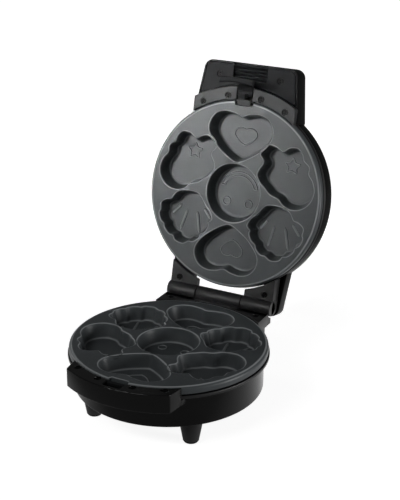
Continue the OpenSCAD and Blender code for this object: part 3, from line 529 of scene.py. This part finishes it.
def lineParts():
    # rings for eyes, a curved band for the smile, small hearts, stars, and rays on the scallops
    s, parts = lines, []

    def outlined(path):
        parts.append(ridge(path, True, s["width"], s["height"], plate["depth"]))
    smile = np.vstack([arc(0, s["mouthY"], s["mouthR"], 197, 343, 40),
                       arc(0, s["mouthY"], s["mouthInR"], 341, 199, 34)])
    outlined(evenSteps(roundedLoop(smile, 1.6, 60), 130))
    small = closedCurve(heart * s["heartSize"], 80)
    outlined(small + [0, s["backHeartY"]])
    outlined(small * [1, -1] - [0, s["frontHeartY"]])
    k = np.arange(10)
    r = np.where(k % 2 == 0, s["starR"], s["starInR"])
    star = np.stack([r * np.sin(k * pi / 5), -r * np.cos(k * pi / 5)], -1)
    star = evenSteps(roundedLoop(star, 1.0), 100) + [s["starX"], s["starY"]]
    for side in (1, -1):
        outlined(circle(s["eyeX"] * side, s["eyeY"], s["eyeR"], 40))
        outlined(star * [side, 1])
        for a, b in rays:
            t = np.linspace(0, 1, 17)[:, None]
            path = (np.array(a) * (1 - t) + np.array(b) * t) * [side, 1]
            parts.append(ridge(path, False, s["rayWidth"], s["rayHeight"], plate["depth"]))
    return parts


shared = plateParts()
beads = lineParts()
makePiece("lowerPlate", shared, "sprayedNonStick", "base", ["lower_plate"])
makePiece("upperPlate", shared, "sprayedNonStick", "lid", ["upper_plate"], inLid)
makePiece("lowerPlateBeads", beads, "sprayedNonStick", "base")
makePiece("upperPlateBeads", beads, "sprayedNonStick", "lid", (), inLid)
print("plates done")

# ---- the base ----

drum = {"r": 98.5, "in": 96.0, "top": 13.5, "low": 46.0, "lipR": 99.8, "lipH": 2.6, "edge": 1.3}
s = drum
lipLow = s["top"] + s["lipH"]
drumProfile = ([(s["in"], s["top"]), (s["lipR"] - 0.6, s["top"])]
               + turned(s["lipR"] - 0.6, s["top"], s["lipR"], s["top"] + 0.6, 4)[1:]
               + turned(s["lipR"], lipLow - 0.8, s["r"] + 0.3, lipLow, 4, "in") + [(s["r"], lipLow + 0.4)]
               + turned(s["r"], s["low"] - s["edge"], s["r"] - s["edge"], s["low"], 6, "in")
               + [(s["in"], s["low"])])
makePiece("drumWall", [revolved(drumProfile)], "polishedPhenolic", "base", ["base_drum"])

# the rear housing's front end follows a circle inside the drum's wall, clear of the wells
housing = {"half": 60.0, "back": 112.0, "wallR": 96.8, "corner": 7.0, "top": 13.6, "low": 45.7}
s = housing
wallTurn = np.degrees(np.arccos(s["half"] / s["wallR"]))
turnX, turnY = s["half"] - s["corner"], s["back"] - s["corner"]
rear = np.vstack([arc(0, 0, s["wallR"], 180 - wallTurn, wallTurn, 41), arc(turnX, turnY, s["corner"], 0, 90, 9),
                  arc(-turnX, turnY, s["corner"], 90, 180, 9)])
makePiece("rearHousing", block(rear, s["top"], s["low"], 0.4, 1.4), "polishedPhenolic", "base")

frontHandle = {"r": 118.0, "in": 103.4, "half": 58.2, "halfIn": 60.8, "high": 20.0, "slotHalf": 9.8,
               "slotY": -114.0, "sinkR": 3.5, "sinkDepth": 3.0, "sinkRing": 108.0,
               "sinkAngles": (-27, -10.5, 10.5, 27), "rootR": 98.4, "rootHalf": 61.7, "rootOut": 1.6,
               "rootHalfOut": 60.4, "rootTop": 13.6}
s = frontHandle


def handleOutline(r, inner, half, halfIn, slotHalf=None, slotY=None):
    # outer arc, slanted ends and inner arc, which may have a notch in its middle: an arc of half-width h at
    # radius r ends at arcsin(h / r) either side of the front
    aOut, aIn = np.degrees(np.arcsin(half / r)), np.degrees(np.arcsin(halfIn / inner))
    out = arc(0, 0, r, 270 - aOut, 270 + aOut, 61)
    if slotHalf is None:
        return np.vstack([out, arc(0, 0, inner, 270 + aIn, 270 - aIn, 61)])
    aSlot = np.degrees(np.arcsin(slotHalf / inner))
    return np.vstack([out, arc(0, 0, inner, 270 + aIn, 270 + aSlot, 31), [(slotHalf, slotY)],
                      [(-slotHalf, slotY)], arc(0, 0, inner, 270 - aSlot, 270 - aIn, 31)])


sinks = [(s["sinkRing"] * sin(radians(a)), -s["sinkRing"] * cos(radians(a)), s["sinkR"], s["sinkDepth"])
         for a in s["sinkAngles"]]
outline = handleOutline(s["r"], s["in"], s["half"], s["halfIn"], s["slotHalf"], s["slotY"])
makePiece("frontHandle", block(roundedLoop(outline, 1.4, 40), 0.0, s["high"], 0.9, 0.9, sinks),
          "polishedPhenolic", "base", ["base_handle"])
root = handleOutline(s["in"] + s["rootOut"], s["rootR"], s["rootHalfOut"], s["rootHalf"])
makePiece("handleRoot", block(roundedLoop(root, 0.8, 40), s["rootTop"], s["high"] - 0.1, 0.4, 0.6),
          "polishedPhenolic", "base")

foot = {"top": 46.0, "bottom": 71.5, "topR": 12.6, "lowR": 8.3, "count": 64,
        "frontAt": [(-56.57, -56.57), (56.57, -56.57)], "rearAt": [(-46, 96), (46, 96)]}
s = foot
footProfile = [(0.01, s["top"]), (s["topR"], s["top"]), (s["topR"], s["top"] + 0.8),
               (s["lowR"] + 0.5, s["bottom"] - 3.5), (s["lowR"], s["bottom"] - 1),
               (s["lowR"] - 0.5, s["bottom"]), (0.01, s["bottom"])]
makePiece("frontFootBodies", [revolved(footProfile, x, y, s["count"]) for x, y in s["frontAt"]],
          "satinPhenolic", "base", ["front_feet"])
makePiece("rearFootBodies", [revolved(footProfile, x, y, s["count"]) for x, y in s["rearAt"]],
          "satinPhenolic", "base", ["rear_feet"])

hinge = {"y": maker["hingeY"], "w": -maker["hingeZ"], "r": 8.3, "mid": 27.2, "in": 28.2, "out": 63.5,
         "half": 63.0, "plateR": 103.6, "leafR": 104.9, "edgeT": 3.5, "leafT": 14.0, "thickX": 38.0,
         "screwX": 52.6, "screwY": 102.6, "slabScrewY": 98.0, "sinkR": 3.5, "sinkDepth": 3.0,
         "slabBack": 107.5, "slabT": 13.5, "saddleX": 25.0, "webBack": 6.8}
s = hinge
slabTurns = [np.degrees(np.arccos(k * s["half"] / s["plateR"])) for k in (1, -1)]
slab = roundedLoop(np.vstack([arc(0, 0, s["plateR"], *slabTurns, 61), [(-s["half"], s["slabBack"] - 1)],
                              [(s["half"], s["slabBack"] - 1)]]), 0.8, 40)
slabSinks = [(x, s["slabScrewY"], s["sinkR"], s["sinkDepth"]) for x in (-s["screwX"], s["screwX"])]
# the saddles' hollow ends follow the leaves' knuckles, and the web carries the middle knuckle
saddle = [(100.6, 0.0), (s["slabBack"], 0.0), (107.8, 2.0), (109.6, 4.5), (112.4, 6.7), (114.5, 7.2),
          (114.5, s["slabT"]), (100.6, s["slabT"])]
web = [(104.2, -0.4), (s["y"], -0.4), (s["y"] + s["webBack"], 0.5), (s["y"] + s["webBack"], s["slabT"]),
       (104.2, s["slabT"])]
saddleEnd = s["half"] - 0.05
makePiece("hingeBracket", block(slab, 0.0, s["slabT"], 0.3, 0.3, slabSinks)
          + acrossX(saddle, s["saddleX"], saddleEnd) + acrossX(saddle, -saddleEnd, -s["saddleX"])
          + acrossX(roundedLoop(web, 0.9, 40), -s["mid"], s["mid"])
          + rodX(s["r"], -s["mid"], s["mid"], s["y"], s["w"]), "satinPhenolic", "base", ["hinge_bracket"])

bezel = {"r": 104.3, "in": 99.6, "top": 9.0, "thick": 3.5}
s = bezel
bezelLow = s["top"] + s["thick"]
bezelProfile = ([(s["in"], s["top"])] + turned(s["r"] - 1, s["top"], s["r"], s["top"] + 1, 5)
                + turned(s["r"], bezelLow - 1, s["r"] - 1, bezelLow, 5, "in") + [(s["in"], bezelLow)])
makePiece("bezelLip", [revolved(bezelProfile)], "satinPhenolic", "base")
print("base done")

# ---- the lid ----

cover = {"r": 104.5, "top": 33.0, "low": 12.5, "wall": 2.5, "round": 6.0, "gripLow": 7.0, "gripY": -142.5,
         "gripHalf": 56.0, "gripBack": (64.5, -70.0), "corner": 10.0, "armLow": 14.3, "armY": 128.0,
         "armHalf": 66.0, "armFront": (71.0, 70.0), "armIn": 45.0, "armInCorner": 6.5, "dipHalf": 20.0,
         "dip": 1.8}


def coverHalf(s):
    # the right half of the cover seen from above, from the middle of the grip round to the middle of the
    # back, with the w of its lower edge at each point. The grip's and the arm's sides are straight lines
    # that stop where they meet the cover's circle, and the edge dips over the finger recess
    line = np.linspace(0, 1, 400)[:, None]
    gripSide = np.array(s["gripBack"]) * line + np.array([s["gripHalf"], s["gripY"] + s["corner"]]) * (1 - line)
    gripSide = gripSide[np.linalg.norm(gripSide, axis=1) > s["r"]][::12]
    armSide = np.array(s["armFront"]) * (1 - line) + np.array([s["armHalf"], s["armY"] - s["corner"]]) * line
    armSide = armSide[np.linalg.norm(armSide, axis=1) > s["r"]][::16]
    g = np.degrees(np.arctan2(gripSide[-1][1], gripSide[-1][0]))
    b = np.degrees(np.arctan2(armSide[0][1], armSide[0][0]))
    gapY = (s["r"] ** 2 - s["armIn"] ** 2) ** 0.5
    e = np.degrees(np.arctan2(gapY, s["armIn"]))
    x = np.array([0, 6, 12, 17.5, 18.5, 19.5, 20.5, 21.5, 30, 38])
    front = np.stack([x, np.full(len(x), s["gripY"])], -1)
    frontLow = s["gripLow"] + s["dip"] * np.clip((s["dipHalf"] + 0.5 - x) / 2, 0, 1)
    c, ci = s["corner"], s["armInCorner"]
    inner = np.stack([np.full(6, s["armIn"]), np.linspace(s["armY"] - ci - 2, gapY + 1.0, 6)], -1)
    runs = [(front, frontLow),
            (arc(s["gripHalf"] - c, s["gripY"] + c, c, 270, 360, 12), s["gripLow"]),
            (gripSide[1:], s["gripLow"]),
            (arc(0, 0, s["r"], g, b, 90), s["low"]),
            (armSide, s["armLow"]),
            (arc(s["armHalf"] - c, s["armY"] - c, c, 0, 90, 12), s["armLow"]),
            (arc(s["armIn"] + ci, s["armY"] - ci, ci, 90, 180, 9), s["armLow"]),
            (inner, s["armLow"]),
            (arc(0, 0, s["r"], e, 90, 20), s["low"])]
    pts = np.vstack([r[0] for r in runs])
    low = np.concatenate([np.broadcast_to(r[1], len(r[0])) for r in runs])
    return pts, low


def coverParts(s):
    # the skin runs from the lower edge up the side and over a quarter-round to the top, the lining runs
    # inside it at the wall's thickness, and each is closed by a flat area
    pts, low = coverHalf(s)
    loop = np.vstack([pts, pts[-2:0:-1] * [-1, 1]])
    low = np.concatenate([low, low[-2:0:-1]])
    n = outward(loop)
    edgeMid, side, ceiling = 0.7, s["top"] - s["round"], s["top"] - s["wall"]

    def level(w):
        return np.full(len(low), w)

    def stacked(rows):
        return np.stack([np.column_stack([loop + n * offset, w]) for offset, w in rows])
    rows = [(-edgeMid, low), (-0.2, low + 0.2), (0, low + edgeMid), (0, level(side))]
    rows += [(offset, level(w)) for offset, w in turned(0, side, -s["round"], s["top"], 9, "in")[1:]]
    skin = stacked(rows + [(-s["round"] - 1, level(s["top"]))])
    lining = stacked([(-edgeMid, low), (-s["wall"] + 0.4, low), (-s["wall"], low + 0.4),
                      (-s["wall"], level(ceiling))])
    return [gridPart(skin), flatPart([skin[-1][:, :2]], s["top"]), gridPart(lining),
            flatPart([lining[-1][:, :2]], ceiling)]


makePiece("lidCover", coverParts(cover), "dullPhenolic", "lid", ["lid_shell"], inLid)

grip = {"inset": 2.9, "recessHalf": 20.0, "recessY": -124.5, "ringR": 118.2, "w": 7.0, "thick": 2.5,
        "screwX": 36.2, "screwY": -128.0, "sinkR": 3.5, "sinkDepth": 2.4, "slope": 5.5, "start": 8.5,
        "ribs": 4, "ribH": 2.2, "ribPower": 0.7, "recessFront": -141.8, "ribFront": -141.0, "ribRun": 15.5,
        "slopeFront": -142.5, "slopeRun": 16.5, "sheet": 1.4}


def gripOutline(c, g):
    # the grip's outline inside the cover's lip, cut by the strip's arc and by the finger recess
    half, y0, r = c["gripHalf"] - g["inset"], c["gripY"] + g["inset"], c["corner"] - g["inset"]
    line = np.linspace(0, 1, 300)[:, None]
    rearEnd = np.array([c["gripBack"][0] - g["inset"], c["gripBack"][1]])
    side = rearEnd * line + np.array([half, y0 + r]) * (1 - line)
    side = side[np.linalg.norm(side, axis=1) > g["ringR"]][::14]
    a = np.degrees(np.arctan2(side[-1][1], side[-1][0]))
    right = np.vstack([[(g["recessHalf"], y0)], arc(half - r, y0 + r, r, 270, 360, 10), side[1:]])
    ring = arc(0, 0, g["ringR"], a, -90, 30)[1:]
    run = np.vstack([[(g["recessHalf"], g["recessY"])], right, ring])
    return np.vstack([run, run[-2::-1] * [-1, 1]])


s = grip
gripSinks = [(x, s["screwY"], s["sinkR"], s["sinkDepth"]) for x in (-s["screwX"], s["screwX"])]
makePiece("gripUnderside", block(roundedLoop(gripOutline(cover, s), 0.8, 40), s["w"], s["w"] + s["thick"], 0.6,
                                 0.4, gripSinks), "greyPhenolic", "lid", ["grip_cover"], inLid)


def recessSheet(s):
    # the finger recess as a bent sheet with a back and a rim: the floor's depth is the start plus the slope
    # times the way along y, less ribH times a power of |sin| for the ribs, and it rises to the grip's face
    # at the two sides and at the inner end
    near = s["recessY"]
    y = np.concatenate([np.linspace(s["recessFront"], near - 0.9, 90), [near - 0.3, near, near]])
    x = np.concatenate([[-1, -1, -0.985], np.linspace(-0.96, 0.96, 9), [0.985, 1, 1]]) * s["recessHalf"]
    along = np.clip((y - s["slopeFront"]) / s["slopeRun"], 0, 1)
    wave = np.abs(np.sin(pi * s["ribs"] * np.clip((y - s["ribFront"]) / s["ribRun"], 0, 1)))
    floor = s["start"] + s["slope"] * along - s["ribH"] * wave ** s["ribPower"]
    face = s["w"] + 0.1
    floor[-3:] = [floor[-4], floor[-4] - 0.6, face]
    deep = np.concatenate([[0, 0.9, 1], np.ones(9), [1, 0.9, 0]])
    w = face + (floor[:, None] - face) * deep[None]
    sheet = np.stack([np.broadcast_to(x[None], w.shape), np.broadcast_to(y[:, None], w.shape), w], -1)
    behind = sheet + [0, 0, s["sheet"]]
    behind[:, 0, 0] -= 1.2
    behind[:, -1, 0] += 1.2
    behind[:, :2, 0] -= 0.6
    behind[:, -2:, 0] += 0.6
    behind[-1, :, 1] += s["sheet"]
    rows, columns = w.shape
    number = np.arange(rows * columns).reshape(rows, columns)
    edge = np.concatenate([number[0], number[1:, -1], number[-1, -2::-1], number[-2:0:-1, 0]])
    rim = np.stack([sheet.reshape(-1, 3)[edge], behind.reshape(-1, 3)[edge]])
    return [gridPart(sheet, False), gridPart(behind, False), gridPart(rim)]


makePiece("fingerRecess", recessSheet(grip), "greyPhenolic", "lid", (), inLid, 50)

strip = {"r": 117.5, "in": 103.4, "half": 60.5, "slotHalf": 9.5, "high": 7.0, "bridgeY": -103.2,
         "bridgeHalf": 10.5, "bridgeWide": 2, "bridgeTop": 1.5, "fillHalf": 8.0, "fillY": -98.2, "fillTop": 0.3}
s = strip


def stripHalf(side):
    # one half of the strip: an arc between the slot and the square outer end
    a0, a1 = [np.degrees(np.arcsin(v / s["r"])) for v in (s["slotHalf"], s["half"])]
    b0, b1 = [np.degrees(np.arcsin(v / s["in"])) for v in (s["slotHalf"], s["half"])]
    loop = np.vstack([arc(0, 0, s["r"], 270 + a0, 270 + a1, 40), arc(0, 0, s["in"], 270 + b1, 270 + b0, 40)])
    pits = [(x * side, y, r, depth) for x, y, r, depth in sinks if x > 0]
    return block(roundedLoop(loop, 1.2, 40) * [side, 1], 0.0, s["high"], 0.7, 0.3, pits)


def rectangle(half, y0, y1):
    return [(-half, y0), (half, y0), (half, y1), (-half, y1)]


# the halves are joined behind the latch by a bridge, and a filling closes the plate's notch
bridge = rectangle(s["bridgeHalf"], s["bridgeY"], s["bridgeY"] + s["bridgeWide"])
fill = rectangle(s["fillHalf"], s["bridgeY"], s["fillY"])
makePiece("lidStrip", stripHalf(1) + stripHalf(-1)
          + block(roundedLoop(bridge, 0.3), s["bridgeTop"], s["high"], 0.2, 0.2)
          + block(roundedLoop(fill, 0.9), s["fillTop"], s["high"], 0.5, 0.2),
          "paleGreyPhenolic", "lid", ["lid_strip"], inLid)


def leafParts(h, side):
    # a thin plate cut round the cooking plate, a deeper body behind its outer part, a rear end that is
    # rounded about the hinge line, and the outer knuckle; side -1 mirrors them
    def cut(x0, x1):
        a0, a1 = [np.degrees(np.arccos(x / h["leafR"])) for x in (x1, x0)]
        loop = np.vstack([arc(0, 0, h["leafR"], a0, a1, 25), [(x0, h["y"] - 3)], [(x1, h["y"] - 3)]])
        return roundedLoop(loop, 0.9, 40)
    y, w, outer = h["y"], maker["faceGap"] - maker["hingeZ"], h["out"] - 0.3
    rear = [(y - 9, 0.4), (y, -1.0), (y + h["r"], -w), (y + h["r"] - 0.3, 6), (y + 6.2, 10), (y + 3, 13),
            (y - 2, h["leafT"]), (y - 9, h["leafT"])]
    sink = (h["screwX"], h["screwY"], h["sinkR"], h["sinkDepth"])
    parts = block(cut(h["in"] + 0.2, outer), 0.0, h["edgeT"], 0.5, 0.1, [sink])
    parts += block(cut(h["thickX"], outer), h["edgeT"] - 0.1, h["leafT"], 0.05, 0.5)
    parts += acrossX(roundedLoop(rear, 1.2, 12), h["thickX"], h["out"])
    parts += rodX(h["r"], h["in"], h["out"], y, -w)
    return [(p * [side, 1, 1], f) for p, f in parts]


makePiece("leftHingeLeaf", leafParts(hinge, -1), "satinPhenolic", "lid", ["hinge_leaf_left"], inLid)
makePiece("rightHingeLeaf", leafParts(hinge, 1), "satinPhenolic", "lid", ["hinge_leaf_right"], inLid)

latch = {"half": 8.8, "hookHalf": 4.0, "barHalf": 20.0, "barIn": 121.3, "barOut": 127.5, "barLow": -27.0,
         "barTop": -22.0}
s = latch
# the lever's hub, arm and tab in one outline, the hook that drops into the keeper, and the bar to press
lever = [(-107.6, -0.5), (-107.6, 5.9), (-113.4, 5.9), (-113.4, 1.5), (-124.0, 1.5), (-124.0, -26.0),
         (-121.3, -26.0), (-121.3, -1.2), (-113.4, -1.2), (-113.0, -0.5)]
hook = [(-110.0, -8.5), (-104.2, -8.5), (-104.2, -6.1), (-106.6, -6.1), (-106.6, 0.5), (-110.0, 0.5)]
bar = handleOutline(s["barOut"], s["barIn"], s["barHalf"], s["barHalf"])
makePiece("latchLever", acrossX(roundedLoop(lever, 1.0, 40), -s["half"], s["half"])
          + acrossX(roundedLoop(hook, 0.5, 40), -s["hookHalf"], s["hookHalf"], 0.3)
          + block(roundedLoop(bar, 1.6, 40), s["barLow"], s["barTop"], 1.2, 1.2), "greyPhenolic", "latch",
          ["latch_lever"], inLid)
print("lid done")

# ---- floor, light and camera ----

view = {"azimuth": 27.68, "elevation": 21.80, "roll": 0.49, "target": (-46.09, 155.04, 37.13), "distance": 1367.2,
        "focal": 1194.8, "longSide": 500.0, "sensor": 36.0}
# the camera looks from the azimuth and elevation at the target; its right and up are turned by the roll
az, el, roll = radians(view["azimuth"]), radians(view["elevation"]), radians(view["roll"])
towards = Vector((sin(az) * cos(el), -cos(az) * cos(el), sin(el)))
right = Vector((cos(az), sin(az), 0))
up = towards.cross(right)
right, up = right * cos(roll) + up * sin(roll), up * cos(roll) - right * sin(roll)
x, y, z = view["target"]
target = Vector((x, y - maker["middleY"], z + maker["faceHeight"])) / 1000
cameraData = bpy.data.cameras.new("camera")
cameraData.sensor_width = view["sensor"]
cameraData.lens = view["focal"] / view["longSide"] * view["sensor"]
camera = bpy.data.objects.new("camera", cameraData)
bpy.context.collection.objects.link(camera)
stand = Matrix((right, up, towards)).transposed().to_4x4()
stand.translation = target + towards * view["distance"] / 1000
camera.matrix_world = stand
bpy.context.scene.camera = camera

reachOut = 6.0
corners = [(-reachOut, -reachOut, 0), (reachOut, -reachOut, 0), (reachOut, reachOut, 0), (-reachOut, reachOut, 0)]
floorMesh = bpy.data.meshes.new("floor")
floorMesh.from_pydata(corners, [], [(0, 1, 2, 3)])
floor = bpy.data.objects.new("floor", floorMesh)
bpy.context.collection.objects.link(floor)
paper = bpy.data.materials.new("whitePaper")
paper.use_nodes = True
tree = paper.node_tree
shader = tree.nodes["Principled BSDF"]
shader.inputs["Roughness"].default_value = 0.9
shader.inputs["Specular IOR Level"].default_value = 0.1
shader.inputs["Base Color"].default_value = linear("#bcbcbc")
light = addNode(tree, "ShaderNodeLightPath")
# the camera sees the paper as white: a little less glow near the object, so that its shadow stays
where = addNode(tree, "ShaderNodeTexCoord").outputs["Object"]
away = addNode(tree, "ShaderNodeVectorMath", None, {0: where}, operation="LENGTH").outputs["Value"]
seenGlow = addNode(tree, "ShaderNodeMapRange", {"From Min": 0.25, "From Max": 0.6, "To Min": 0.88,
                                                "To Max": 1.02}, {"Value": away})
# a painted reflection: the paper glows for glossy rays alone, dark in front, brighter beside and behind, and only
# close by, so that polished black shows a bright reflection there that no lamp casts
axes = addNode(tree, "ShaderNodeSeparateXYZ", None, {0: where})
lean = addNode(tree, "ShaderNodeMath", {1: -0.35}, {0: axes.outputs[0], 2: axes.outputs[1]},
               operation="MULTIPLY_ADD")
sheen = addNode(tree, "ShaderNodeMapRange", {"From Min": -0.16, "From Max": 0.08, "To Min": 0.0, "To Max": 1.0},
                {"Value": lean.outputs[0]})
close = addNode(tree, "ShaderNodeMapRange", {"From Min": 0.22, "From Max": 0.37, "To Min": 1.0, "To Max": 0.05},
                {"Value": away})
near = addNode(tree, "ShaderNodeMath", None, {0: close.outputs[0], 1: sheen.outputs[0]}, operation="MULTIPLY")
glossy = addNode(tree, "ShaderNodeMath", None, {0: light.outputs["Is Glossy Ray"], 1: near.outputs[0]},
                 operation="MULTIPLY")
# the glow's strength: the white backdrop for camera rays, plus the painted reflection for glossy rays
gain = addNode(tree, "ShaderNodeMath", None, {0: light.outputs["Is Camera Ray"], 1: seenGlow.outputs[0],
                                              2: glossy.outputs[0]}, operation="MULTIPLY_ADD")
glow = addNode(tree, "ShaderNodeEmission", {"Color": (1, 1, 1, 1)}, {"Strength": gain.outputs[0]})
total = addNode(tree, "ShaderNodeAddShader", None, {0: shader.outputs[0], 1: glow.outputs[0]})
tree.links.new(total.outputs[0], tree.nodes["Material Output"].inputs["Surface"])
floorMesh.materials.append(paper)

world = bpy.data.worlds.new("studio")
bpy.context.scene.world = world
world.use_nodes = True
tree = world.node_tree
# the room is white to the camera and through clear parts, and dim to everything else
light = addNode(tree, "ShaderNodeLightPath")
seen = addNode(tree, "ShaderNodeMath", None, {0: light.outputs["Is Camera Ray"],
                                              1: light.outputs["Is Transmission Ray"]}, operation="MAXIMUM")
level = addNode(tree, "ShaderNodeMapRange", {"To Min": 0.09, "To Max": 1.0}, {"Value": seen.outputs[0]})
sky = tree.nodes["Background"]
sky.inputs["Color"].default_value = (1, 1, 1, 1)
tree.links.new(level.outputs[0], sky.inputs["Strength"])

# the key is narrow and shines on the open lid alone; places in metres, power in watts, spread in degrees
lamps = {
    "key": {"at": (-1.0, -1.7, 0.95), "aim": (-0.12, 0.1, 0.29), "size": (0.28, 0.28), "power": 0.3,
            "spread": 10.5},
    "front": {"at": (-0.4, -1.5, 1.3), "aim": (0, 0.02, 0.08), "size": (0.9, 0.5), "power": 8.5, "spread": 180},
    "right": {"at": (1.4, 0.2, 0.2), "aim": (0.05, 0.0, 0.04), "size": (0.4, 0.5), "power": 11, "spread": 180},
    "left": {"at": (-1.5, 0.1, 0.35), "aim": (0, 0.02, 0.12), "size": (0.3, 0.8), "power": 4, "spread": 180},
}
for name, lamp in lamps.items():
    source = bpy.data.lights.new(name, "AREA")
    source.shape = "RECTANGLE"
    source.size, source.size_y = lamp["size"]
    source.energy = lamp["power"]
    source.spread = radians(lamp["spread"])
    holder = bpy.data.objects.new(name, source)
    bpy.context.collection.objects.link(holder)
    holder.location = lamp["at"]
    holder.rotation_euler = (Vector(lamp["aim"]) - Vector(lamp["at"])).to_track_quat("-Z", "Y").to_euler()
bpy.context.scene.view_settings.view_transform = "Standard"
print("stage set")
